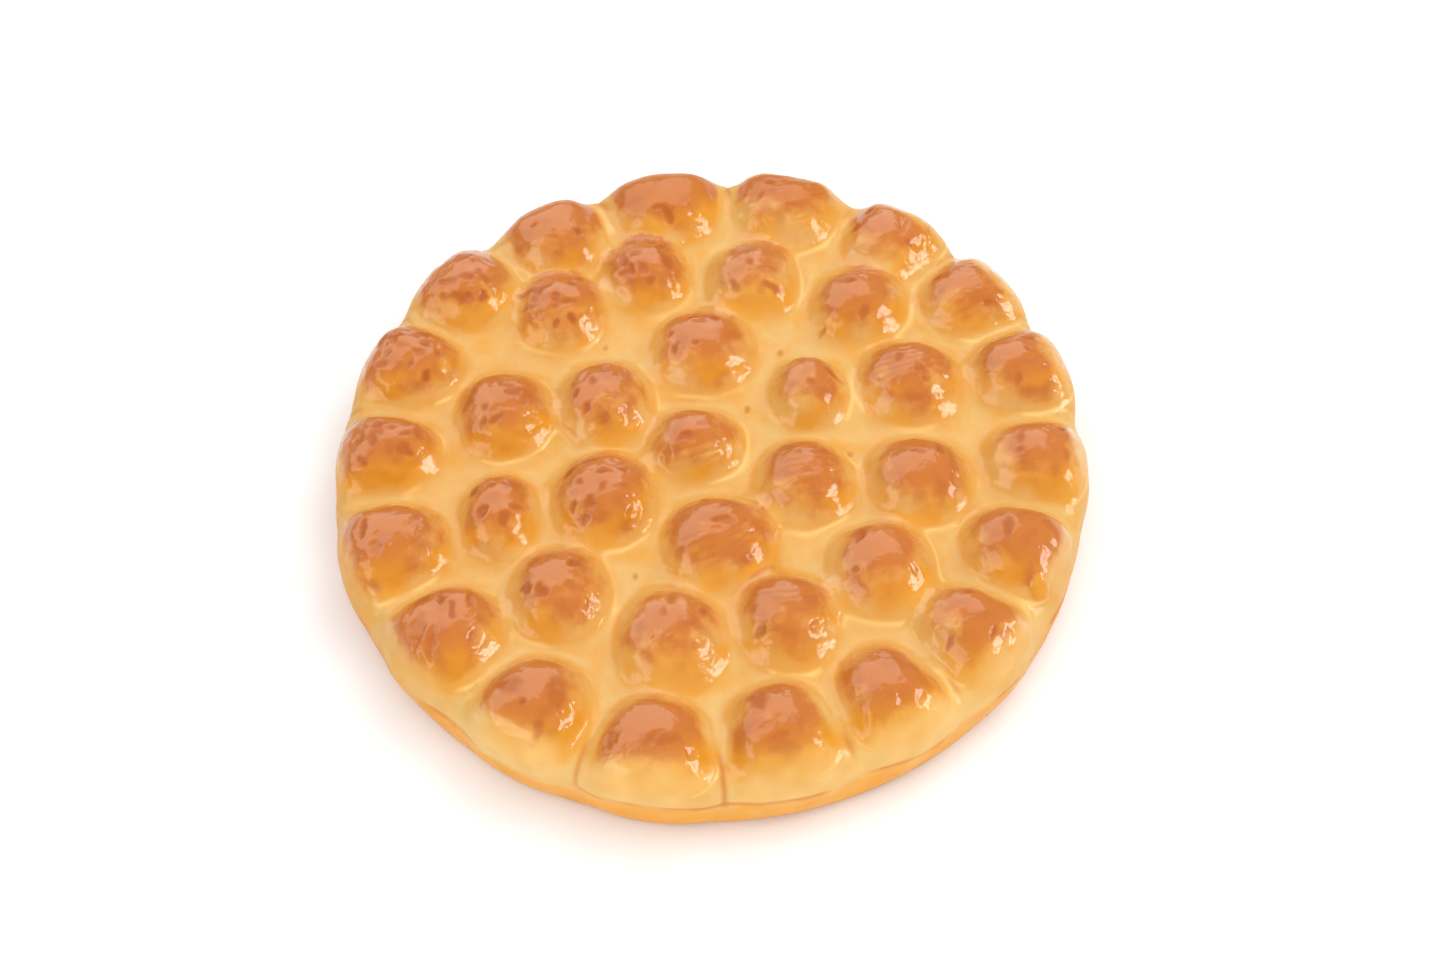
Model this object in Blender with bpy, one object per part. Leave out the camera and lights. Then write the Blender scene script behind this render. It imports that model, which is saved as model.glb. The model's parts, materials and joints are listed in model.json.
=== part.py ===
"""Honeycomb bread: small round buns baked side by side in a round tin, until they rise and join into one loaf.

Metres, +Z up. The loaf stands on its flat base, with the middle of the base at the origin.
"""
import math
import random

import bmesh
import bpy
from mathutils import Vector, noise

MM = 0.001

# The loaf
TIN_FOOT_RADIUS = 126.0 * MM     # the wall that the tin leaves starts at this radius on the table
TIN_RADIUS = 128.3 * MM          # and widens to this at its top
WALL_HEIGHT = 17.0 * MM          # the tin's wall reaches this high
RIM_BULGE = 1.4 * MM             # above the wall the buns lean outwards by this
BED_INSET = 1.0 * MM             # the dough where the buns have grown together stays this far inside the tin
BED_HEIGHT = 24.8 * MM           # the bottom of the valleys between the buns
BED_SHOULDER = 8.0 * MM          # rounding of the bed's upper edge
BED_FOOT = 2.5 * MM              # rounding of its lower edge

# One bun
BUN_WIDTH = 36.8 * MM            # close to the spacing, so neighbours join at their feet
CROWN_HEIGHT = 38.4 * MM         # highest point of a middling bun
CROWN_SPREAD = 0.9 * MM          # the others are up to this much higher or lower
BUN_MIDDLE = 17.0 * MM           # height at which a bun is widest
DOME_POWER = 2.15                # 2 is a plain ellipse, more is a flatter top with steeper sides
BUN_POWER = 2.3                  # the same for a bun's outline seen from above
CORNER_POWER = 4.0               # the outer half of a rim bun is squarer, pressed into the tin
RIM_BUN_DEPTH = 39.5 * MM        # a rim bun, from its inner end to the wall
UNEVEN = 0.7 * MM                # soft lumps on the buns
LUMP_SPACING = 16.0 * MM

# The honeycomb: one bun in the middle and three rings round it. Turns are in degrees off even spacing and shifts
# in millimetres outwards. Widths (along X) and depths (along Y) are shares of BUN_WIDTH, and a rim bun's width is
# a share of the room between its neighbours. Each list starts near +X and goes round towards +Y.
RINGS_CENTRE = (0.3 * MM, 0.8 * MM)
MIDDLE_BUN = {"centre": (-5.0 * MM, 1.5 * MM), "width": 1.0, "depth": 0.9}
RINGS = {
    "inner": {
        "radius": 38.5 * MM,
        "first": 30.0,
        "turns": (2.5, 2, 1, 0, 3.5, 4),
        "shifts": (2, 3, 1.5, 2, 0, -4),
        "widths": (0.8, 1.1, 0.98, 1.06, 1.17, 1.0),
        "depths": (0.94, 1.09, 1.12, 1.16, 1.1, 1.06),
    },
    "second": {
        "radius": 74.5 * MM,
        "first": 17.0,
        "turns": (3.5, 1.5, 0, -1.5, -7, 0, 3.5, 2, 2.5, 1.5, 0, 0),
        "shifts": (-1, 6, 0, 5, 5, -3.5, -0.5, 0.5, 1.5, -2, -0.5, -4),
        "widths": (1.09, 1.03, 1.02, 0.97, 0.96, 1.02, 0.79, 1.0, 1.09, 1.0, 1.06, 1.08),
        "depths": (1.07, 1.0, 1.06, 1.0, 1.0, 1.1, 1.07, 1.11, 1.18, 1.09, 1.1, 1.08),
    },
    "rim": {
        "radius": 109.0 * MM,
        "first": 18.0,
        "turns": (-2.5, -4, -5, -4.5, 0, 1.5, 1.5, 2, 1, 2, 1.5, 2.5, 2, 2.5, 1, -0.5, -2.5, -2.5),
        "shifts": (1, 2, 2, 0.5, 0, -1, 0, -1, -2, 0, 0, 2.5, 4.5, 0.5, 0, 0, -2.5, -1),
        "widths": (1, 1, 1, 1.02, 1.03, 1, 1, 0.97, 0.9, 1, 1, 0.98, 1.02, 1, 0.97, 1, 1, 0.98),
    },
}

# Mesh
BUN_SEGMENTS = 40
BUN_ROWS = 24
BED_SEGMENTS = 144
ROUNDING_SEGMENTS = 5
VOXEL = 1.4 * MM
SMOOTHING_FACTOR = 0.5
SMOOTHING_STEPS = 9
SETTLED = 0.35 * MM              # what ends this close to the table lies flat on it
TRIANGLES = 10800
SHARP_ANGLE = math.radians(60.0)
SEED = 37

CRUST_COLOUR = (0.80, 0.40, 0.12)
CRUST_ROUGHNESS = 0.3


def clear_scene():
    for item in list(bpy.data.objects):
        bpy.data.objects.remove(item, do_unlink=True)


def ring_angles(ring):
    """The angle of each bun of a ring, in radians."""
    count = len(ring["turns"])
    return [math.radians(ring["first"] + 360.0 * i / count + turn) for i, turn in enumerate(ring["turns"])]


def superellipse(angle, power):
    """Distance from the middle to a squared-off circle of radius 1."""
    return (abs(math.cos(angle)) ** power + abs(math.sin(angle)) ** power) ** (-1.0 / power)


def dome(share, power):
    """Height of a dome of height 1 at a share of its half width."""
    return (1.0 - min(share, 1.0) ** power) ** (1.0 / power)


def unit_bun(outer_power):
    """A rounded lump of half width 1 and half height 1, its outer half (+X) squarer than its inner one."""
    bm = bmesh.new()
    bmesh.ops.create_uvsphere(bm, u_segments=BUN_SEGMENTS, v_segments=BUN_ROWS, radius=1.0)
    for vert in bm.verts:
        share = math.hypot(vert.co.x, vert.co.y)
        angle = math.atan2(vert.co.y, vert.co.x)
        reach = superellipse(angle, outer_power if vert.co.x > 0.0 else BUN_POWER)
        height = dome(share, DOME_POWER)
        vert.co = Vector((vert.co.x * reach, vert.co.y * reach, math.copysign(height, vert.co.z)))
    mesh = bpy.data.meshes.new("Unit bun")
    bm.to_mesh(mesh)
    bm.free()
    return mesh


def press_into_tin(co):
    """A point moved up to the tin's floor and in to its wall, or a little further out above the wall."""
    up_the_wall = max(0.0, min(1.0, co.z / WALL_HEIGHT))
    above = max(0.0, min(1.0, (co.z - WALL_HEIGHT) / (BED_HEIGHT - WALL_HEIGHT)))
    limit = TIN_FOOT_RADIUS + (TIN_RADIUS - TIN_FOOT_RADIUS) * up_the_wall + RIM_BULGE * above
    inwards = min(1.0, limit / max(math.hypot(co.x, co.y), MM))
    return Vector((co.x * inwards, co.y * inwards, max(co.z, 0.0)))


def add_lump(bm, unit, place):
    """Adds a copy of a unit bun, each point moved by place() and then pressed into the tin."""
    lump = unit.copy()
    for vert in lump.vertices:
        vert.co = press_into_tin(place(vert.co))
    bm.from_mesh(lump)
    bpy.data.meshes.remove(lump)


def add_round_bun(bm, unit, centre, width, depth, rise):
    """A bun with neighbours on all sides."""
    half_width = 0.5 * BUN_WIDTH * width
    half_depth = 0.5 * BUN_WIDTH * depth
    half_height = CROWN_HEIGHT - BUN_MIDDLE + rise

    def place(co):
        x = RINGS_CENTRE[0] + centre[0] + co.x * half_width
        y = RINGS_CENTRE[1] + centre[1] + co.y * half_depth
        return Vector((x, y, BUN_MIDDLE + co.z * half_height))

    add_lump(bm, unit, place)


def add_rim_bun(bm, unit, radius, start, end, width, rise):
    """A bun against the wall, which widens outwards to fill that share of its room between two angles."""
    middle, half_angle = 0.5 * (start + end), 0.5 * (end - start) * width
    half_depth = 0.5 * RIM_BUN_DEPTH
    half_height = CROWN_HEIGHT - BUN_MIDDLE + rise

    def place(co):
        distance = radius + co.x * half_depth
        angle = middle + co.y * half_angle
        x = RINGS_CENTRE[0] + distance * math.cos(angle)
        y = RINGS_CENTRE[1] + distance * math.sin(angle)
        return Vector((x, y, BUN_MIDDLE + co.z * half_height))

    add_lump(bm, unit, place)


def round_rim(bm, z, radius):
    """Rounds the edge that runs round the bed at height z."""
    rim = [edge for edge in bm.edges if all(abs(vert.co.z - z) < SETTLED for vert in edge.verts)]
    bmesh.ops.bevel(bm, geom=rim, offset=radius, segments=ROUNDING_SEGMENTS, profile=0.5, affect="EDGES")


def add_bed(bm):
    """The flat round mass that the buns share."""
    bmesh.ops.create_cone(
        bm, cap_ends=True, segments=BED_SEGMENTS, radius1=TIN_FOOT_RADIUS - BED_INSET,
        radius2=TIN_RADIUS - BED_INSET, depth=BED_HEIGHT)
    bmesh.ops.translate(bm, verts=bm.verts, vec=(0.0, 0.0, 0.5 * BED_HEIGHT))
    round_rim(bm, BED_HEIGHT, BED_SHOULDER)
    round_rim(bm, 0.0, BED_FOOT)


def add_buns(bm, rng):
    """All the buns, from the middle outwards."""
    round_bun = unit_bun(BUN_POWER)
    add_round_bun(bm, round_bun, MIDDLE_BUN["centre"], MIDDLE_BUN["width"], MIDDLE_BUN["depth"], 0.0)
    for name in ("inner", "second"):
        ring = RINGS[name]
        for i, angle in enumerate(ring_angles(ring)):
            radius = ring["radius"] + ring["shifts"][i] * MM
            centre = (radius * math.cos(angle), radius * math.sin(angle))
            rise = rng.uniform(-CROWN_SPREAD, CROWN_SPREAD)
            add_round_bun(bm, round_bun, centre, ring["widths"][i], ring["depths"][i], rise)
    rim_bun = unit_bun(CORNER_POWER)
    rim = RINGS["rim"]
    angles = ring_angles(rim)
    for i, angle in enumerate(angles):
        before = angles[i - 1] - (math.tau if i == 0 else 0.0)
        after = angles[(i + 1) % len(angles)] + (math.tau if i == len(angles) - 1 else 0.0)
        start, end = 0.5 * (before + angle), 0.5 * (angle + after)
        rise = rng.uniform(-CROWN_SPREAD, CROWN_SPREAD)
        add_rim_bun(bm, rim_bun, rim["radius"] + rim["shifts"][i] * MM, start, end, rim["widths"][i], rise)


def apply_modifiers(obj):
    """Replaces an object's mesh by what its modifiers make of it."""
    graph = bpy.context.evaluated_depsgraph_get()
    mesh = bpy.data.meshes.new_from_object(obj.evaluated_get(graph))
    obj.modifiers.clear()
    obj.data = mesh


def join_dough(obj):
    """Grows the lumps together into one skin, and softens the creases between them."""
    remesh = obj.modifiers.new("Grown together", "REMESH")
    remesh.mode = "VOXEL"
    remesh.voxel_size = VOXEL
    smooth = obj.modifiers.new("Soft creases", "SMOOTH")
    smooth.factor = SMOOTHING_FACTOR
    smooth.iterations = SMOOTHING_STEPS
    apply_modifiers(obj)


def add_unevenness(obj):
    """Dough never rises evenly: soft lumps, fading out towards the base."""
    outwards = [vert.normal.copy() for vert in obj.data.vertices]
    for vert, normal in zip(obj.data.vertices, outwards):
        fade = min(1.0, vert.co.z / WALL_HEIGHT)
        vert.co += normal * (noise.noise(vert.co / LUMP_SPACING) * UNEVEN * fade)


def thin_out(obj):
    """Leaves about TRIANGLES triangles, most of them where the surface bends."""
    obj.data.calc_loop_triangles()
    decimate = obj.modifiers.new("Fewer faces", "DECIMATE")
    decimate.ratio = TRIANGLES / len(obj.data.loop_triangles)
    decimate.use_collapse_triangulate = True
    apply_modifiers(obj)


def settle(obj):
    """Flattens the base to z = 0 and centres the loaf on the origin."""
    verts = obj.data.vertices
    lowest = min(vert.co.z for vert in verts)
    for vert in verts:
        vert.co.z = 0.0 if vert.co.z < lowest + SETTLED else vert.co.z - lowest
    for axis in (0, 1):
        low, high = min(v.co[axis] for v in verts), max(v.co[axis] for v in verts)
        for vert in verts:
            vert.co[axis] -= 0.5 * (low + high)


def crust_material():
    material = bpy.data.materials.new("Glazed crust")
    material.use_nodes = True
    shader = material.node_tree.nodes["Principled BSDF"]
    shader.inputs["Base Color"].default_value = (*CRUST_COLOUR, 1.0)
    shader.inputs["Roughness"].default_value = CRUST_ROUGHNESS
    shader.inputs["Metallic"].default_value = 0.0
    material.diffuse_color = (*CRUST_COLOUR, 1.0)
    return material


def build_bread():
    rng = random.Random(SEED)
    bm = bmesh.new()
    add_bed(bm)
    add_buns(bm, rng)
    mesh = bpy.data.meshes.new("bread")
    bm.to_mesh(mesh)
    bm.free()
    obj = bpy.data.objects.new("bread", mesh)
    bpy.context.scene.collection.objects.link(obj)
    join_dough(obj)
    add_unevenness(obj)
    thin_out(obj)
    settle(obj)
    obj.data.materials.clear()
    obj.data.materials.append(crust_material())
    obj.data.shade_smooth()
    obj.data.set_sharp_from_angle(angle=SHARP_ANGLE)


clear_scene()
build_bread()
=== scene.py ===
import json
import math
import random

import bpy
import numpy as np
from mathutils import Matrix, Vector, noise

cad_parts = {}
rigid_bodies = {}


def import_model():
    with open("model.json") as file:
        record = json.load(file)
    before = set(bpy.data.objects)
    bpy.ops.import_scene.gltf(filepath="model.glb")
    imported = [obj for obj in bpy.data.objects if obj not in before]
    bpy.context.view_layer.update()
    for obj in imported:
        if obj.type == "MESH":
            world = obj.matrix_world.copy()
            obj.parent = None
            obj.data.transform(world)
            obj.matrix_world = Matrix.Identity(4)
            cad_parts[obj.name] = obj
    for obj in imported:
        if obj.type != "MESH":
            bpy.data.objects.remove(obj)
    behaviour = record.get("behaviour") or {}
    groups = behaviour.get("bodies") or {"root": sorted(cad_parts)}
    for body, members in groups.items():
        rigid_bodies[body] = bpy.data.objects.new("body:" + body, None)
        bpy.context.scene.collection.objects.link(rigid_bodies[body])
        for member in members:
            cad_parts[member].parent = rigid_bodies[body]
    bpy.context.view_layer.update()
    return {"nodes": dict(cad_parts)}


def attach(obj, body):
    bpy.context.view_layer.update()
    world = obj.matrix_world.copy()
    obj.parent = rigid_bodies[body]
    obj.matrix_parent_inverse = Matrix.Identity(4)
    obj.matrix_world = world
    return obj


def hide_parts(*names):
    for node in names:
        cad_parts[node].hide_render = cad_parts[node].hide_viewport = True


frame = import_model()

MM = 0.001

# --------------------------------------------------------------------------------------------------
# The loaf: small balls of soft milk dough, set close together in a round tin, that grew into one loaf
# as they baked and were brushed with sugar syrup. A copy of the frame's solid gets a fine even skin,
# the relief of the glaze and the finish of the crust.
# --------------------------------------------------------------------------------------------------
SKIN_GRID = 0.85 * MM
SKIN_SMOOTHING = 30
MERGE_WITHIN = 0.02 * MM
FLAT_UNDERSIDE = 0.5 * MM

bpy.ops.object.select_all(action="DESELECT")
dough = frame["nodes"]["bread"]
dough.select_set(True)
bpy.context.view_layer.objects.active = dough
bpy.ops.object.duplicate()
loaf = bpy.context.view_layer.objects.active
loaf.name = "honeycomb_loaf"
loaf.data.name = "honeycomb_loaf"
bpy.ops.object.mode_set(mode="EDIT")
bpy.ops.mesh.select_all(action="SELECT")
bpy.ops.mesh.remove_doubles(threshold=MERGE_WITHIN)
bpy.ops.object.mode_set(mode="OBJECT")
fine_skin = loaf.modifiers.new("Fine skin", "REMESH")
fine_skin.mode = "VOXEL"
fine_skin.voxel_size = SKIN_GRID
bpy.ops.object.modifier_apply(modifier="Fine skin")
soft_skin = loaf.modifiers.new("Soft skin", "SMOOTH")
soft_skin.factor = 0.5
soft_skin.iterations = SKIN_SMOOTHING
bpy.ops.object.modifier_apply(modifier="Soft skin")

# The flat underside keeps only a few large faces.
underside_z = min(vertex.co.z for vertex in loaf.data.vertices)
bpy.ops.object.mode_set(mode="EDIT")
bpy.ops.mesh.select_mode(type="FACE")
bpy.ops.mesh.select_all(action="DESELECT")
bpy.ops.object.mode_set(mode="OBJECT")
for face in loaf.data.polygons:
    face.select = face.center.z < underside_z + FLAT_UNDERSIDE
bpy.ops.object.mode_set(mode="EDIT")
bpy.ops.mesh.select_less()
bpy.ops.mesh.select_less()
bpy.ops.mesh.dissolve_faces()
bpy.ops.object.mode_set(mode="OBJECT")


def skin_points(mesh):
    """Every vertex of the skin, one row each, in millimetres."""
    points = np.empty(len(mesh.vertices) * 3)
    mesh.vertices.foreach_get("co", points)
    return points.reshape(-1, 3) / MM


def skin_normals(mesh):
    """The outward direction at every vertex, one row each."""
    normals = np.empty(len(mesh.vertices) * 3, np.float32)
    mesh.vertex_normals.foreach_get("vector", normals)
    return normals.reshape(-1, 3).astype(float)


def rise(low, high, values):
    """0 below low, 1 above high, and a soft step between them."""
    share = np.clip((values - low) / (high - low), 0.0, 1.0)
    return share * share * (3.0 - 2.0 * share)


def ripple(points, width, seed):
    """Soft noise from -1 to 1 at every point, with bumps about that wide in millimetres."""
    shift = Vector((seed * 17.3, seed * 5.1, seed * 11.7))
    return np.array([noise.noise(Vector(point) / width + shift) for point in points])


def bell(values, middle, width):
    """1 at the middle, falling softly to almost 0 at twice the width from it."""
    return np.exp(-((values - middle) / width) ** 2)


# The crown of each bun is found on the skin: the highest place within reach. The middle bun comes first,
# then the rings of 6, 12 and 18 buns, each from +X round towards +Y. All these sizes are in millimetres,
# and the reach is in cells.
CELL = 1.5
CROWN_REACH = 8
CAP_DEPTH = 2.5
RING_BUNS = (1, 6, 12, 18)
VALLEY_Z = 24.8
WALL_TOP_Z = 17.0

skin = skin_points(loaf.data)
cells = np.floor(skin[:, :2] / CELL).astype(int)
cells -= cells.min(axis=0) - CROWN_REACH
heights = np.zeros(cells.max(axis=0) + CROWN_REACH + 1)
np.maximum.at(heights, (cells[:, 0], cells[:, 1]), skin[:, 2])
highest_near = heights.copy()
for step_x in range(-CROWN_REACH, CROWN_REACH + 1):
    for step_y in range(-CROWN_REACH, CROWN_REACH + 1):
        if math.hypot(step_x, step_y) <= CROWN_REACH:
            highest_near = np.maximum(highest_near, np.roll(heights, (step_x, step_y), axis=(0, 1)))
is_crown = skin[:, 2] >= highest_near[cells[:, 0], cells[:, 1]] - 1e-6
crowns = []
for peak in skin[is_crown]:
    near = skin[np.hypot(skin[:, 0] - peak[0], skin[:, 1] - peak[1]) < CELL * CROWN_REACH]
    cap = near[near[:, 2] > peak[2] - CAP_DEPTH]
    crowns.append((*cap[:, :2].mean(axis=0), peak[2]))
crowns.sort(key=lambda crown: math.hypot(crown[0], crown[1]))
buns = []
for count in RING_BUNS:
    ring = crowns[len(buns):len(buns) + count]
    ring.sort(key=lambda crown: math.atan2(crown[1], crown[0]) % math.tau)
    buns += ring
buns = np.array(buns)

# Each point of the skin belongs to the bun whose crown is nearest, and has a place on it. seam is how far
# the point is from where that bun meets the next one, and climb goes from 0 in the valleys to 1 on the
# crown. No relief is given to the underside and its edge.
gaps = np.hypot(skin[:, None, 0] - buns[None, :, 0], skin[:, None, 1] - buns[None, :, 1])
order = np.argsort(gaps, axis=1)[:, :2]
owner = order[:, 0]
place = skin[:, :2] - buns[owner, :2]
nearest = np.take_along_axis(gaps, order, axis=1)
spacing = np.hypot(*(buns[order[:, 1], :2] - buns[owner, :2]).T)
seam = (nearest[:, 1] ** 2 - nearest[:, 0] ** 2) / (2.0 * spacing)
climb = np.clip((skin[:, 2] - VALLEY_Z) / (buns[owner, 2] - VALLEY_Z), 0.0, 1.0)
radius = np.hypot(skin[:, 0], skin[:, 1])
on_top = rise(2.0, 8.0, skin[:, 2])

# The domes flow softly into the valleys, so the skin round their feet is smoothed further.
FOOT_SMOOTHING = 220
at_foot = rise(0.75, 0.35, climb) * rise(10.0, 22.0, skin[:, 2])
feet = loaf.vertex_groups.new(name="feet")
for index in np.nonzero(at_foot > 0.01)[0]:
    feet.add([int(index)], float(at_foot[index]), "REPLACE")
soft_feet = loaf.modifiers.new("Soft feet", "SMOOTH")
soft_feet.factor = 0.5
soft_feet.iterations = FOOT_SMOOTHING
soft_feet.vertex_group = "feet"
bpy.ops.object.modifier_apply(modifier="Soft feet")
loaf.vertex_groups.clear()
skin = skin_points(loaf.data)

# The glaze on each bun: "smooth", "streaked" with fine ridges, or "blistered" with round dents. The ridges
# are turned by so many degrees, and sizes are in millimetres.
GLAZE = (
    "streaked",
    "smooth", "blistered", "blistered", "blistered", "streaked", "streaked",
    "streaked", "streaked", "smooth", "blistered", "blistered", "blistered",
    "blistered", "blistered", "smooth", "streaked", "smooth", "smooth",
    "smooth", "streaked", "smooth", "streaked", "smooth", "smooth", "blistered", "blistered", "blistered",
    "blistered", "smooth", "smooth", "smooth", "smooth", "streaked", "smooth", "smooth", "smooth",
)
STREAK_TURN = (
    15,
    0, 0, 0, 0, 25, 10,
    15, 20, 0, 0, 0, 0,
    0, 0, 0, 5, 0, 0,
    0, 20, 0, 10, 0, 0, 0, 0, 0,
    0, 82, 0, 0, 0, 84, 0, 0, 0,
)
STREAK_WIDTH = 2.6
STREAK_HEIGHT = 0.07
WAVE_HEIGHT = 0.48
DENTS = {"blistered": 13, "streaked": 3, "smooth": 3}
DENT_REACH = 12.5
DENT_DEPTH = 0.36
BUBBLE_PLACE = (10.0, -4.5)
SEED = 5

rng = random.Random(SEED)
streaked = np.array([style == "streaked" for style in GLAZE])[owner].astype(float)
blistered = np.array([style == "blistered" for style in GLAZE])[owner].astype(float)
turn = np.radians(np.array(STREAK_TURN, float))[owner]
dome = rise(0.12, 0.5, climb)

wobble = ripple(skin, 2.4, 8)
uneven = 0.45 + 0.25 * streaked + 0.55 * blistered
wave = ripple(skin, 10.0, 1) + uneven * (0.85 * ripple(skin, 4.4, 2) + 0.30 * wobble)
relief = WAVE_HEIGHT * wave * (0.45 + 0.55 * dome)
across = -np.sin(turn) * place[:, 0] + np.cos(turn) * place[:, 1]
across = across - 0.018 * place[:, 0] ** 2 * (np.abs(turn) < 1.0)
swing = 1.6 * ripple(skin, 11.0, 3) + 0.5 * ripple(skin, 4.0, 4)
ridge = np.sin(math.tau * (across + swing) / STREAK_WIDTH)
patchy = rise(-0.15, 0.35, ripple(skin, 9.0, 5))
relief += STREAK_HEIGHT * ridge * patchy * streaked * rise(0.3, 0.6, climb)

scorch = 0.45 * streaked * rise(0.45, 0.8, climb) * patchy * rise(0.0, 1.0, -ridge)


def press_dent(index, centre, size, long, lean, depth, burn, where=dome):
    """Presses an oval dent of half width size into a bun, and bakes it darker."""
    mine = np.nonzero(owner == index)[0]
    offset = place[mine] - centre
    along_dent = (offset[:, 0] * math.cos(lean) + offset[:, 1] * math.sin(lean)) / long
    across_dent = -offset[:, 0] * math.sin(lean) + offset[:, 1] * math.cos(lean)
    reach = np.hypot(along_dent, across_dent) / size * (1.0 + 0.5 * wobble[mine])
    dent = 1.0 - rise(0.15, 1.0, reach)
    rim = bell(reach, 1.15, 0.25)
    relief[mine] += depth * (0.35 * rim - dent) * where[mine]
    scorch[mine] = np.maximum(scorch[mine], burn * (1.0 - rise(0.5, 1.1, reach)) * where[mine])


# The larger dents and bubbles of the most marked buns, listed one by one: the bun, the dent's middle on
# it, its half width, how many times longer it is, its turn in degrees, its depth, and how dark it is
# baked.
MARK_DEEPER = 1.2
MARK_DARKER = 1.3
MARKED_DENTS = (
    (0, -2.6, -3.0, 1.9, 2.6, 12, 0.22, 0.8), (0, -9.5, -7.5, 2.4, 1.2, 80, 0.35, 0.3),
    (0, 4.0, 2.0, 1.6, 1.8, 5, 0.2, 0.3), (2, -9.9, -4.5, 1.7, 1.6, 75, 0.35, 0.9),
    (2, -2.5, -4.0, 1.5, 1.0, 0, 0.25, 0.5), (2, -11.5, 3.0, 1.4, 1.2, 30, 0.25, 0.6),
    (2, 4.0, 8.5, 1.4, 2.0, 160, 0.3, 0.8), (2, -3.5, 9.5, 1.3, 2.4, 12, 0.3, 0.8),
    (2, 10.5, 1.0, 3.0, 1.3, 40, 0.2, 0.3), (3, -3.6, 3.5, 1.7, 1.4, 100, 0.3, 0.7),
    (3, -9.0, -0.5, 1.6, 1.7, 60, 0.3, 0.8), (3, -5.3, -7.0, 1.5, 1.9, 70, 0.3, 0.8),
    (3, 0.3, -11.0, 2.2, 1.2, 60, 0.3, 0.6), (3, 7.8, -9.0, 3.2, 1.3, 95, 0.5, 0.15),
    (3, 6.5, 6.0, 3.2, 1.2, 0, 0.15, 0.3), (4, -11.5, 8.0, 1.5, 2.6, 45, 0.3, 0.9),
    (4, -4.5, 11.5, 1.3, 2.6, 10, 0.3, 0.8), (4, -0.5, 5.0, 1.8, 1.8, 25, 0.35, 0.8),
    (4, 6.9, 6.5, 1.5, 1.5, 170, 0.3, 0.6), (4, -8.0, 1.5, 1.4, 1.1, 0, 0.3, 0.7),
    (4, -10.0, -6.5, 1.6, 1.5, 80, 0.35, 0.7), (4, -4.4, -7.0, 2.0, 1.2, 100, 0.35, 0.7),
    (4, -0.4, -2.5, 1.4, 1.8, 60, 0.3, 0.6), (4, 4.5, -1.5, 1.3, 2.4, 15, 0.3, 0.5),
    (4, -6.0, -11.5, 1.8, 1.3, 20, 0.35, 0.5), (4, 9.5, -8.5, 2.6, 1.9, 75, 0.5, 0.1),
    (13, -8.0, 7.5, 1.6, 2.4, 85, 0.3, 0.8), (13, -2.4, 7.5, 1.4, 1.2, 0, 0.3, 0.7),
    (13, -5.0, -3.5, 2.4, 1.3, 60, 0.45, 0.8), (13, 4.5, 7.5, 2.6, 1.4, 0, 0.2, 0.5),
    (13, 2.5, -6.5, 2.0, 1.5, 80, 0.25, 0.7), (13, 6.0, -2.0, 1.8, 1.5, 10, 0.3, 0.6),
    (14, -7.0, 8.5, 1.5, 1.5, 30, 0.3, 0.6), (14, 5.7, 6.5, 2.4, 1.4, 5, 0.3, 0.8),
    (14, -9.5, -2.0, 2.2, 1.5, 80, 0.4, 0.9), (14, -4.6, -4.5, 2.2, 1.4, 110, 0.4, 0.9),
    (14, 11.0, -7.0, 2.2, 1.8, 70, 0.5, 0.2), (29, -8.5, 9.5, 2.4, 1.6, 40, 0.3, 0.8),
    (29, -2.5, 8.5, 1.6, 2.0, 95, 0.3, 0.8), (29, 1.8, 3.5, 1.4, 3.6, 95, 0.3, 0.8),
    (29, 7.0, 8.0, 1.8, 2.0, 100, 0.25, 0.5), (29, -9.0, -2.5, 2.9, 2.1, 85, 0.5, 0.35),
    (29, -4.2, -7.5, 2.0, 3.0, 82, 0.5, 0.4), (29, 9.0, -5.5, 2.4, 1.5, 60, 0.5, 0.2),
    (28, -4.0, -5.0, 2.2, 2.2, 85, 0.5, 0.3), (28, -9.0, 3.0, 1.6, 3.0, 80, 0.3, 0.8),
    (30, -7.6, 3.0, 4.2, 1.1, 90, 0.15, 0.5), (30, 7.0, 0.0, 3.6, 2.0, 85, 0.15, 0.5),
    (30, -3.2, -4.0, 1.2, 1.0, 0, 0.3, 0.9), (30, 1.5, -12.0, 2.0, 2.2, 75, 0.2, 0.6),
    (31, -13.0, 0.0, 2.8, 1.3, 60, 0.4, 0.4), (31, 2.0, -2.0, 3.0, 2.6, 5, 0.15, 0.5),
    (32, -6.0, 6.0, 3.6, 1.2, 60, 0.2, 0.7), (32, -1.0, -7.0, 2.2, 2.2, 20, 0.4, 0.3),
    (33, 4.0, -6.5, 3.3, 1.3, 88, 0.55, 0.1), (16, -8.3, -8.0, 2.4, 1.3, 10, 0.45, 0.6),
    (16, 9.0, -7.0, 2.8, 1.2, 60, 0.5, 0.1), (35, -3.0, 1.0, 2.2, 2.2, 80, 0.3, 0.7),
)
for index, x, y, size, long, lean, depth, burn in MARKED_DENTS:
    press_dent(index, (x, y), size, long, math.radians(lean), MARK_DEEPER * depth,
               min(1.0, MARK_DARKER * burn))
marked = {entry[0] for entry in MARKED_DENTS}
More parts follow.
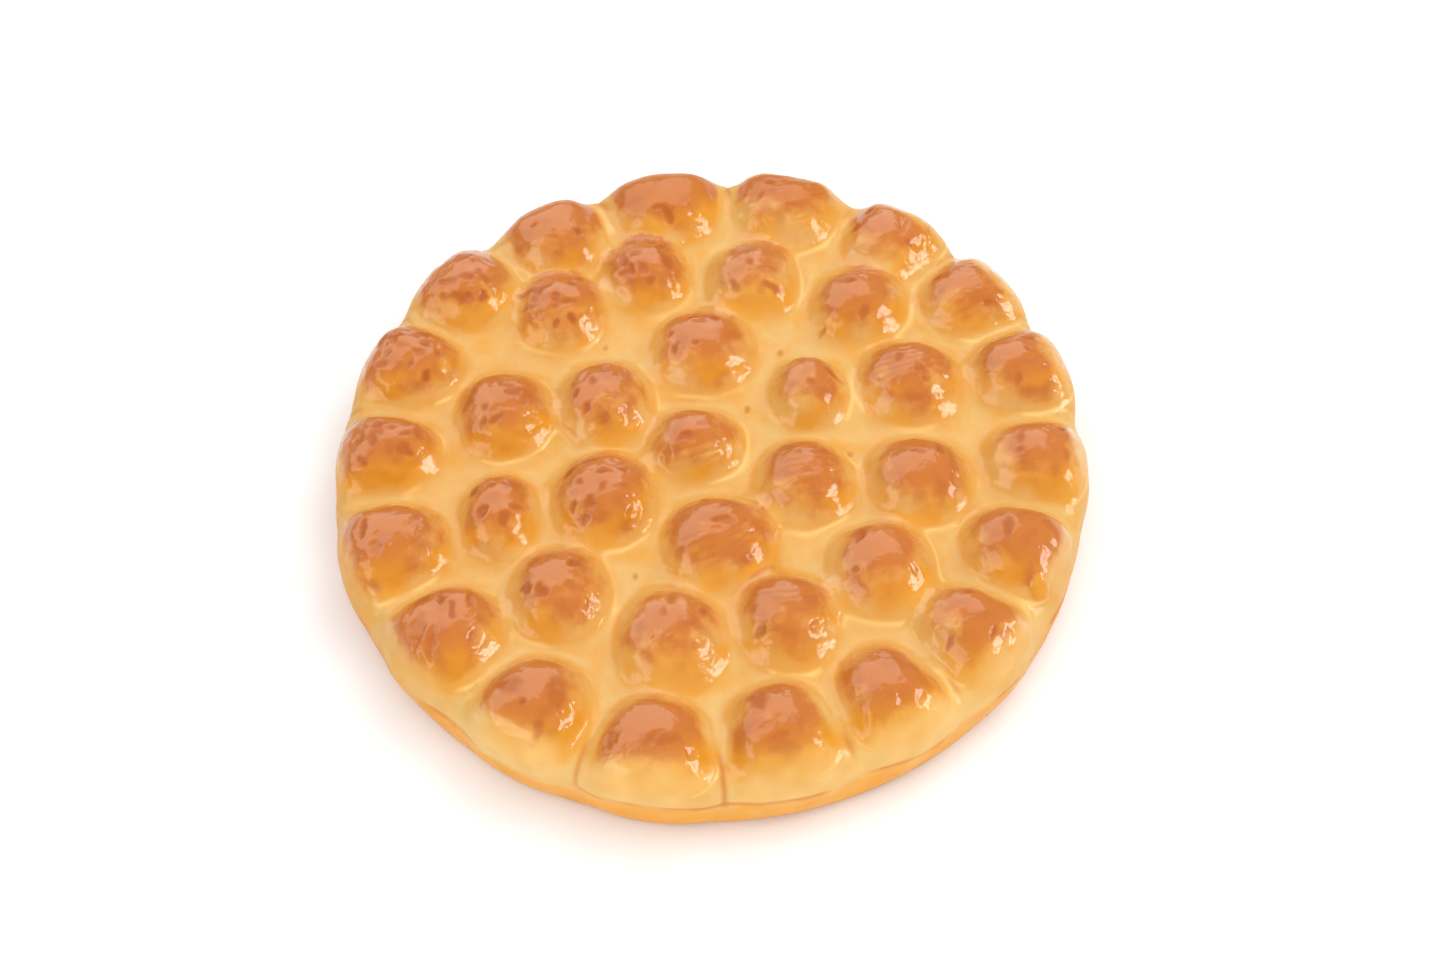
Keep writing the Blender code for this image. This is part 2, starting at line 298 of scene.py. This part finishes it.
for index, style in enumerate(GLAZE):
    for _ in range(0 if index in marked else DENTS[style]):
        direction = rng.uniform(0.0, math.tau)
        out = DENT_REACH * math.sqrt(rng.random())
        centre = (out * math.cos(direction), out * math.sin(direction) + 1.5)
        press_dent(index, centre, rng.uniform(1.2, 2.2), rng.uniform(1.1, 2.4), rng.uniform(0.0, math.pi),
                   DENT_DEPTH * rng.uniform(0.6, 1.1), rng.uniform(0.6, 1.0))
    # The syrup sets round one bubble where each bun faces the light.
    bubble = (BUBBLE_PLACE[0] + rng.uniform(-1.5, 1.5), BUBBLE_PLACE[1] + rng.uniform(-2.0, 2.0))
    press_dent(index, bubble, rng.uniform(1.6, 2.8), rng.uniform(1.0, 1.6), rng.uniform(0.6, 2.2),
               DENT_DEPTH * rng.uniform(0.8, 1.3), 0.1)

# Small pits where three buns meet: the bun, the pit's middle on it and its half width.
VALLEY_PITS = (
    (1, -20.8, -3.9, 1.3), (1, -8.9, 20.4, 1.2), (8, -13.0, -11.5, 1.1), (6, 15.6, 12.0, 1.2),
    (14, 24.3, 7.8, 1.2), (11, 16.0, -15.0, 1.0), (12, 20.0, -14.0, 0.9),
)
everywhere = np.ones(len(skin))
for index, x, y, size in VALLEY_PITS:
    press_dent(index, (x, y), size, 1.6, 1.2, 0.5, 0.45, everywhere)

# One round blister on the flank of a rim bun, with its middle on that bun.
BLISTER_BUN = 35
BLISTER_X, BLISTER_Y = 6.3, -17.0
BLISTER_RADIUS = 3.3
BLISTER_HEIGHT = 1.1
from_blister = np.hypot(place[:, 0] - BLISTER_X, place[:, 1] - BLISTER_Y) / BLISTER_RADIUS
blister = (owner == BLISTER_BUN) * np.sqrt(np.clip(1.0 - from_blister ** 2, 0.0, 1.0))
relief += BLISTER_HEIGHT * blister

# Syrup gathers in a thin raised line round the foot of each dome, most of it towards the lower right,
# where the window light falls. The pale colour given to this line is a painted highlight of the glaze.
SYRUP_HEIGHT = 0.22
from_crown = np.maximum(np.hypot(place[:, 0], place[:, 1]), 1.0)
to_lower_right = 0.5 + 0.5 * (place[:, 0] - place[:, 1]) / from_crown
foot = 0.10 + 0.05 * ripple(skin, 9.0, 12)
syrup_line_and_glint = to_lower_right * bell(climb, foot, 0.035) * rise(-0.1, 0.3, ripple(skin, 14.0, 9))
relief += SYRUP_HEIGHT * syrup_line_and_glint

# Between the rim buns a crease runs down to the edge of the tin's wall, and another one runs round there.
# Two pairs of buns have a fold between them that runs further in.
CREASE_WIDTH = 0.9
CREASE_DEPTH = 0.5
TIN_LINE_DEPTH = 0.45
FOLDED_PAIRS = ((35, 36), (18, 35))
on_rim = rise(112.0, 118.0, radius) * rise(WALL_TOP_Z - 4.0, WALL_TOP_Z, skin[:, 2])
pair = np.sort(order, axis=1)
folded = np.any([(pair == buns_there).all(axis=1) for buns_there in FOLDED_PAIRS], axis=0)
crease = np.maximum(on_rim, 0.8 * folded * rise(84.0, 90.0, radius)) * bell(seam, 0.0, CREASE_WIDTH)
above_tin = skin[:, 2] - WALL_TOP_Z - 1.2 * ripple(skin, 30.0, 10)
tin_line = rise(110.0, 118.0, radius) * bell(above_tin, 0.0, CREASE_WIDTH)
broken = rise(-0.3, 0.4, ripple(skin, 13.0, 11))
relief -= broken * (CREASE_DEPTH * crease + TIN_LINE_DEPTH * tin_line)

normals = skin_normals(loaf.data)
moved = (skin + normals * (relief * on_top)[:, None]) * MM
loaf.data.vertices.foreach_set("co", moved.ravel())
loaf.data.update()

# How far each point is baked: 0 is the palest dough and 1 the deepest brown. The crowns bake darkest. The
# crust is also darker towards the back of each dome, most on the back buns, and darker at the feet of the
# domes than in the middle of a valley.
VALLEY_BAKE = 0.03
CROWN_BAKE = 0.86
FOOT_BAKE = 0.08
TONE_CHANGE = 0.12
BUN_TONES = (
    0.2, -0.6, 0.3, 0.0, 0.5, 0.4, 0.3,
    0.4, 0.3, -0.7, 0.3, 0.5, 0.7, 0.5, 0.0, -0.5, 0.2, -0.3, 0.0,
    0.0, -0.4, 0.1, -0.2, 0.5, 0.6, 0.3, 0.6, 0.9, 0.7, 0.5, -0.4, 0.0, -0.4, 0.0, -0.4, 0.1, -0.3,
)
edge = 0.12 * ripple(skin, 3.6, 6) + 0.26 * ripple(skin, 9.0, 7)
toward_back = (0.15 + 0.15 * rise(60.0, 95.0, skin[:, 1])) * np.clip(place[:, 1] / 12.0, -0.35, 1.0)
baked = VALLEY_BAKE + CROWN_BAKE * climb + (edge + toward_back) * rise(0.05, 0.3, climb)
baked += TONE_CHANGE * ripple(skin, 7.0, 13) + TONE_CHANGE * ripple(skin, 18.0, 19)
baked += FOOT_BAKE * rise(1.5, 5.0, seam) * rise(0.3, 0.05, climb)

# The rim buns bake darker, but stay pale where they press on each other. Below them a pale skirt runs down
# to the tin's wall, and it starts lower on one side than on the other.
RIM_BAKE = 0.25
PRESSED_BAKE = -0.55
SKIRT_BAKE = 0.12
SKIRT_RADIUS = 122.0
SKIRT_LEAN = 2.5
SKIRT_LEAN_BEARING = 200.0
SKIRT_SOFTNESS = 5.0
baked += RIM_BAKE * rise(104.0, 114.0, radius) * rise(0.15, 0.4, climb)
baked += PRESSED_BAKE * rise(4.5, 1.0, seam) * rise(96.0, 106.0, radius)
bearing = np.arctan2(skin[:, 1], skin[:, 0])
facing_front = -np.sin(bearing)
skirt_start = SKIRT_RADIUS + SKIRT_LEAN * np.cos(bearing - math.radians(SKIRT_LEAN_BEARING))
skirt_start += 2.0 * ripple(skin, 14.0, 14)
skirt = rise(-SKIRT_SOFTNESS, SKIRT_SOFTNESS, radius - skirt_start)
open_skirt = skirt * rise(1.0, 4.5, seam)
skirt_baked = SKIRT_BAKE + 0.22 * ripple(skin, 9.0, 15) + 0.2 * rise(0.6, -0.2, facing_front)
baked += (skirt_baked - baked) * open_skirt

# The blister is bare of brown, and the wall is mottled by the tin and darker at its foot.
BLISTER_BAKE = 0.5
WALL_BAKE = 0.52
WALL_FOOT_BAKE = 0.3
on_blister = rise(0.0, 0.4, blister)
baked += (BLISTER_BAKE - baked) * on_blister
wall_edge = WALL_TOP_Z - 0.5 + 2.0 * ripple(skin, 24.0, 17) + 1.2 * ripple(skin, 7.0, 18)
wall = rise(2.5, -2.5, skin[:, 2] - wall_edge)
wall_baked = WALL_BAKE + 0.5 * ripple(skin, 11.0, 20) + 0.25 * ripple(skin, 3.5, 21)
wall_baked += WALL_FOOT_BAKE * rise(6.0, 0.0, skin[:, 2])
baked += (wall_baked - baked) * wall

# Syrup soaks in and turns the crust a clear amber in patches of the valleys and on the blister. The amber
# on the front flank of each dome, most of all on the front buns, and on the front of the skirt is painted
# warm light on the side that faces front, and the ring of amber round the foot of each dome is painted
# light that lifts the shade there.
FLANK_AMBER = 0.7
VALLEY_AMBER = 0.55
FRONT_SKIRT_GLOW = 0.4
BLISTER_AMBER = 0.6
FOOT_RING_LIGHT = 0.35
front_flank = rise(0.0, -9.0, place[:, 1] - 0.3 * place[:, 0]) * rise(1.0, 0.6, climb)
amber_and_glow = front_flank * rise(0.04, 0.25, climb) * rise(-0.25, 0.3, ripple(skin, 10.0, 16))
amber_and_glow = np.maximum(amber_and_glow, front_flank * rise(0.0, 0.12, climb) * rise(-70.0, -95.0, skin[:, 1]))
amber_and_glow = np.maximum(amber_and_glow, VALLEY_AMBER * rise(0.0, 0.45, ripple(skin, 8.0, 24)) * rise(0.3, 0.1, climb))
amber_and_glow = np.maximum(FLANK_AMBER * amber_and_glow, FRONT_SKIRT_GLOW * open_skirt * rise(0.9, 1.0, facing_front))
amber_and_glow = np.maximum(amber_and_glow, BLISTER_AMBER * on_blister)
amber_and_glow = np.maximum(amber_and_glow, FOOT_RING_LIGHT * bell(climb, 0.2, 0.1) * (1.0 - wall))

# The front skirt light is painted light: the skirt of the front buns is made paler on the side that faces
# front.
# Mottles are the small darker patches of the crowns. The syrup is thinner in the valleys, down the side,
# at the back of the loaf and on scorched spots.
FRONT_SKIRT_LIGHT = 0.6
MOTTLES = 0.4
VALLEY_SYRUP = 0.35
front_skirt_light = FRONT_SKIRT_LIGHT * skirt * rise(0.45, 0.9, facing_front) * (0.8 + 0.5 * ripple(skin, 6.0, 25))
mottled = MOTTLES * rise(0.1, 0.5, ripple(skin, 5.0, 22)) * rise(0.5, 0.8, climb)
syrup = VALLEY_SYRUP + (1.0 - VALLEY_SYRUP) * rise(0.0, 0.25, climb) * rise(127.5, 124.0, radius)
syrup *= 1.0 - 0.4 * rise(95.0, 112.0, skin[:, 1])
syrup *= 1.0 - 0.7 * np.clip(scorch, 0.0, 1.0)
# The wall's orange is partly the crust's own tin-baked gold and partly a painted warm glow, strongest on
# the front.
wall_gold_and_glow = wall * (0.62 + 0.3 * ripple(skin, 8.0, 23)) * (0.75 + 0.25 * rise(0.3, 0.9, facing_front))
finish = {
    "baked": np.clip(baked, 0.0, 1.2),
    "amber_and_glow": amber_and_glow,
    "bun_tone": np.array(BUN_TONES)[owner],
    "scorched": np.maximum(scorch, mottled),
    # The pale line: painted highlight on the syrup lines and painted light on the front skirt.
    "syrup_line_and_glint": np.maximum(0.7 * syrup_line_and_glint, front_skirt_light),
    # Darker colour in the creases and round the top of the wall: painted shade in the grooves.
    "crease_shade": 0.7 * broken * np.clip(crease + tin_line, 0.0, 1.0),
    "wall": wall_gold_and_glow,
    "syrup": syrup,
}
for name, values in finish.items():
    attribute = loaf.data.attributes.new(name, "FLOAT", "POINT")
    attribute.data.foreach_set("value", values.astype(np.float32))

# The skin is thinned out where it bends least.
TRIANGLES = 192000
loaf.data.calc_loop_triangles()
thinner = loaf.modifiers.new("Thinner", "DECIMATE")
thinner.ratio = TRIANGLES / len(loaf.data.loop_triangles)
thinner.use_collapse_triangulate = True
bpy.ops.object.modifier_apply(modifier="Thinner")
bpy.ops.object.shade_smooth()

# The crust's colours: brown on the crowns, amber on the flanks, pale gold in the valleys, under a clear
# glaze of syrup. A band is where a colour stands on the way from pale to deep.
CRUST = {
    "pale": (0.705, 0.458, 0.162, 1.0),
    "valley": (0.70, 0.408, 0.124, 1.0),
    "gold": (0.70, 0.376, 0.106, 1.0),
    "tan": (0.69, 0.33, 0.075, 1.0),
    "cap": (0.62, 0.236, 0.050, 1.0),
    "deep": (0.545, 0.168, 0.030, 1.0),
    "amber_and_glow": (0.725, 0.300, 0.016, 1.0),
    "scorch": (0.44, 0.115, 0.024, 1.0),
    "crease": (0.60, 0.18, 0.02, 1.0),
    # syrup: pale colour of the painted highlight on the syrup lines and the painted light on the front
    # skirt.
    "syrup": (0.92, 0.60, 0.22, 1.0),
    "wall": (0.86, 0.34, 0.02, 1.0),
}
BANDS = (("pale", 0.06), ("valley", 0.26), ("gold", 0.46), ("tan", 0.66), ("cap", 0.84), ("deep", 1.0))
GRAIN_SHARE = 0.42
TONE_SHARE = 0.16
WRINKLE_DEPTH = 0.30 * MM

crust = bpy.data.materials.new("glazed_crust")
crust.use_nodes = True
nodes = crust.node_tree.nodes
links = crust.node_tree.links
skin_shader = nodes["Principled BSDF"]


def reads(name):
    """The loaf's own attribute of that name, as a node's output."""
    node = nodes.new("ShaderNodeAttribute")
    node.attribute_name = name
    return node.outputs["Fac"]


def sum_of(first, second, factor=1.0):
    """first plus factor times second."""
    node = nodes.new("ShaderNodeMath")
    node.operation = "MULTIPLY_ADD"
    links.new(second, node.inputs[0])
    node.inputs[1].default_value = factor
    links.new(first, node.inputs[2])
    return node.outputs[0]


def toned(factor, first, second):
    """One colour changing to another as factor goes from 0 to 1. Each is a colour or a node's output."""
    node = nodes.new("ShaderNodeMix")
    node.data_type = "RGBA"
    links.new(factor, node.inputs["Factor"])
    for socket, colour in (("A", first), ("B", second)):
        target = [entry for entry in node.inputs if entry.name == socket and entry.type == "RGBA"][0]
        if isinstance(colour, tuple):
            target.default_value = colour
        else:
            links.new(colour, target)
    return [entry for entry in node.outputs if entry.type == "RGBA"][0]


def grain(scale, detail, rough=0.5):
    """Noise on the loaf's own coordinates, from 0 to 1, with that many bumps to the metre."""
    node = nodes.new("ShaderNodeTexNoise")
    node.inputs["Scale"].default_value = scale
    node.inputs["Detail"].default_value = detail
    node.inputs["Roughness"].default_value = rough
    links.new(own_place.outputs["Object"], node.inputs["Vector"])
    return node.outputs["Fac"]


own_place = nodes.new("ShaderNodeTexCoord")
baking = sum_of(reads("baked"), grain(330.0, 3.0, 0.6), GRAIN_SHARE)
baking = sum_of(baking, reads("bun_tone"), TONE_SHARE)
bands = nodes.new("ShaderNodeValToRGB")
links.new(baking, bands.inputs["Fac"])
ramp = bands.color_ramp
ramp.elements.remove(ramp.elements[1])
ramp.elements[0].position = BANDS[0][1]
ramp.elements[0].color = CRUST[BANDS[0][0]]
for band, position in BANDS[1:]:
    ramp.elements.new(position).color = CRUST[band]
# The amber colour is the crust's own in the valleys and on the blister, and painted warm light on the
# front and at the dome feet.
colour = toned(reads("amber_and_glow"), bands.outputs["Color"], CRUST["amber_and_glow"])
colour = toned(reads("scorched"), colour, CRUST["scorch"])
# The pale syrup colour: painted highlight along the syrup lines, painted light on the front skirt.
colour = toned(reads("syrup_line_and_glint"), colour, CRUST["syrup"])
# The wall colour: tin-baked gold with a painted warm glow, strongest on the front.
colour = toned(reads("wall"), colour, CRUST["wall"])
# The crease colour is painted shade in the creases and along the line round the top of the wall.
colour = toned(reads("crease_shade"), colour, CRUST["crease"])
links.new(colour, skin_shader.inputs["Base Color"])
skin_shader.inputs["Roughness"].default_value = 0.45
skin_shader.inputs["Specular IOR Level"].default_value = 0.0
skin_shader.inputs["Subsurface Weight"].default_value = 0.2
skin_shader.inputs["Subsurface Radius"].default_value = (1.0, 0.45, 0.15)
skin_shader.inputs["Subsurface Scale"].default_value = 2.0 * MM
links.new(reads("syrup"), skin_shader.inputs["Coat Weight"])
wrinkles = nodes.new("ShaderNodeBump")
wrinkles.inputs["Strength"].default_value = 1.0
wrinkles.inputs["Distance"].default_value = WRINKLE_DEPTH
links.new(grain(300.0, 2.0), wrinkles.inputs["Height"])
links.new(wrinkles.outputs["Normal"], skin_shader.inputs["Coat Normal"])
skin_shader.inputs["Coat Roughness"].default_value = 0.12
skin_shader.inputs["Coat IOR"].default_value = 1.42

loaf.data.materials.clear()
loaf.data.materials.append(crust)
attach(loaf, "root")
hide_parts("bread")

# --------------------------------------------------------------------------------------------------
# The studio: a plain white floor, soft white lights and a camera. Four wide panels light the crust, two
# more give the pale sheen on the buns, and the four panes of a window give the sparks on their right.
# --------------------------------------------------------------------------------------------------
bpy.ops.object.select_all(action="DESELECT")
FLOOR_SIZE = 24.0
bpy.ops.mesh.primitive_plane_add(size=FLOOR_SIZE, location=(0.0, 0.0, 0.0))
floor = bpy.context.view_layer.objects.active
floor.name = "floor"
paper = bpy.data.materials.new("white_floor")
paper.use_nodes = True
paper_shader = paper.node_tree.nodes["Principled BSDF"]
paper_shader.inputs["Base Color"].default_value = (0.93, 0.93, 0.93, 1.0)
paper_shader.inputs["Roughness"].default_value = 0.9
paper_shader.inputs["Specular IOR Level"].default_value = 0.1
floor.data.materials.append(paper)


def light_panel(name, azimuth, elevation, distance, wide, high, radiance):
    """A flat soft light that faces the loaf. Angles are in degrees, from +X and from the floor, and wide
    and high are the angles it fills as the loaf sees it. radiance is its brightness beside the white
    floor's 1."""
    around, up = math.radians(azimuth), math.radians(elevation)
    toward = Vector((math.cos(up) * math.cos(around), math.cos(up) * math.sin(around), math.sin(up)))
    bpy.ops.object.light_add(type="AREA", location=toward * distance)
    panel = bpy.context.view_layer.objects.active
    panel.name = name
    panel.rotation_euler = (-toward).to_track_quat("-Z", "Y").to_euler()
    panel.data.shape = "RECTANGLE"
    panel.data.size = 2.0 * distance * math.tan(math.radians(wide) / 2.0)
    panel.data.size_y = 2.0 * distance * math.tan(math.radians(high) / 2.0)
    panel.data.energy = radiance * math.pi * panel.data.size * panel.data.size_y
    panel.visible_camera = False
    return panel


# Each panel's name, azimuth, elevation, distance in metres, width, height and radiance. A pane of the
# window has the last four.
CRUST_PANELS = (
    ("panel_top", 90.0, 86.0, 1.6, 70.0, 70.0, 0.95),
    ("panel_key", 25.0, 50.0, 1.6, 50.0, 50.0, 1.9),
    ("panel_front", 275.0, 30.0, 1.7, 80.0, 40.0, 1.2),
    ("panel_fill", 190.0, 45.0, 1.7, 50.0, 50.0, 0.8),
)
SHEEN_PANELS = (
    ("panel_back", 119.0, 43.0, 1.5, 86.0, 56.0, 2.3),
    ("panel_left", 207.0, 25.0, 1.5, 46.0, 24.0, 2.8),
)
WINDOW_AZIMUTH, WINDOW_ELEVATION = -8.0, 23.0
PANE_STEP_ACROSS, PANE_STEP_UP = 7.5, 7.0
PANE = (1.4, 12.5, 11.5, 11.5)
for name, *where in CRUST_PANELS:
    light_panel(name, *where).visible_glossy = False
for name, *where in SHEEN_PANELS:
    light_panel(name, *where).visible_diffuse = False
for side in (-1, 1):
    for level in (-1, 1):
        azimuth = WINDOW_AZIMUTH + PANE_STEP_ACROSS * side
        elevation = WINDOW_ELEVATION + PANE_STEP_UP * level
        light_panel("panel_window", azimuth, elevation, *PANE).visible_diffuse = False

ROOM_LIGHT = 0.36
world = bpy.data.worlds.new("room")
world.use_nodes = True
world.node_tree.nodes["Background"].inputs["Color"].default_value = (1.0, 1.0, 1.0, 1.0)
world.node_tree.nodes["Background"].inputs["Strength"].default_value = ROOM_LIGHT
bpy.context.scene.world = world

CAMERA_PLACE = (-0.000335, -0.431748, 0.612174)
CAMERA_TURN = (35.692147, 0.689103, -1.373261)
CAMERA_LENS = 54.3355
bpy.ops.object.camera_add(location=CAMERA_PLACE)
camera = bpy.context.view_layer.objects.active
camera.name = "camera"
camera.rotation_euler = [math.radians(angle) for angle in CAMERA_TURN]
camera.data.sensor_width = 36.0
camera.data.lens = CAMERA_LENS
bpy.context.scene.camera = camera
bpy.context.scene.view_settings.view_transform = "Standard"
